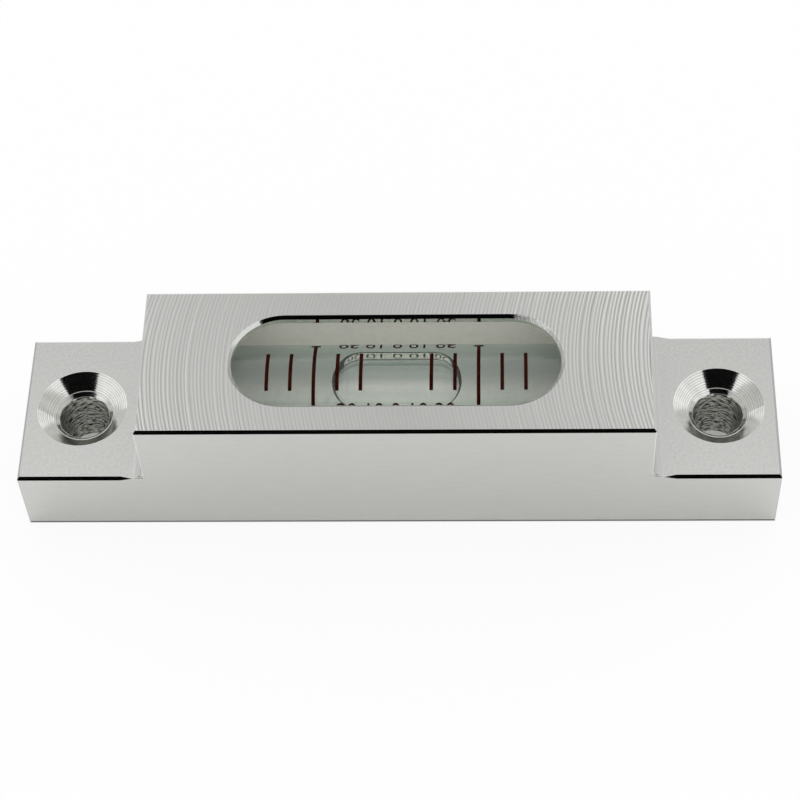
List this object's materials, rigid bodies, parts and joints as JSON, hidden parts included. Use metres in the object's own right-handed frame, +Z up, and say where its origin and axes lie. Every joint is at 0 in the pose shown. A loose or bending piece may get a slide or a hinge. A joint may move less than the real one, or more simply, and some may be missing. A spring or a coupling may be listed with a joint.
{
  "type": "bubble level",
  "caption": "Screw-down bubble level: a machined bar with countersunk end wings and a round-ended window over a ground glass vial whose bubble slides along a printed scale.",
  "frame": {"origin": "middle of the base, on the surface that the level is screwed to", "axes": "+X along the vial to the right end, +Y across the bar to the back, +Z up out of the window"},
  "size_m": [0.0652, 0.0148, 0.014],
  "materials": {
    "machined_aluminium": "satin",
    "plate_aluminium": "satin",
    "plaster": "matte",
    "vial_glass": "gloss",
    "plug_glass": "gloss",
    "sealing_cement": "satin",
    "cork": "matte",
    "spirit": "gloss",
    "bubble": "gloss",
    "ink": "satin"
  },
  "bodies": {
    "housing": {"body": "machined_aluminium", "base_plate": "plate_aluminium", "plaster_bed": "plaster", "vial_tube": "vial_glass", "end_plug_left": "plug_glass", "end_plug_right": "plug_glass", "plug_seal_left": "sealing_cement", "plug_seal_right": "sealing_cement", "end_pad_left": "cork", "end_pad_right": "cork", "spirit": "spirit", "short_lines_left": "ink", "short_lines_right": "ink", "long_line_left": "ink", "long_line_right": "ink"},
    "bubble": {"bubble": "bubble"}
  },
  "joints": [
    {"name": "bubble_travel", "type": "slide", "parent": "housing", "child": "bubble", "axis": [1, 0, 0], "range_m": [-0.0094, 0.0094], "stiffness_N_per_m": 0.02, "deforming": ["spirit"]}
  ]
}
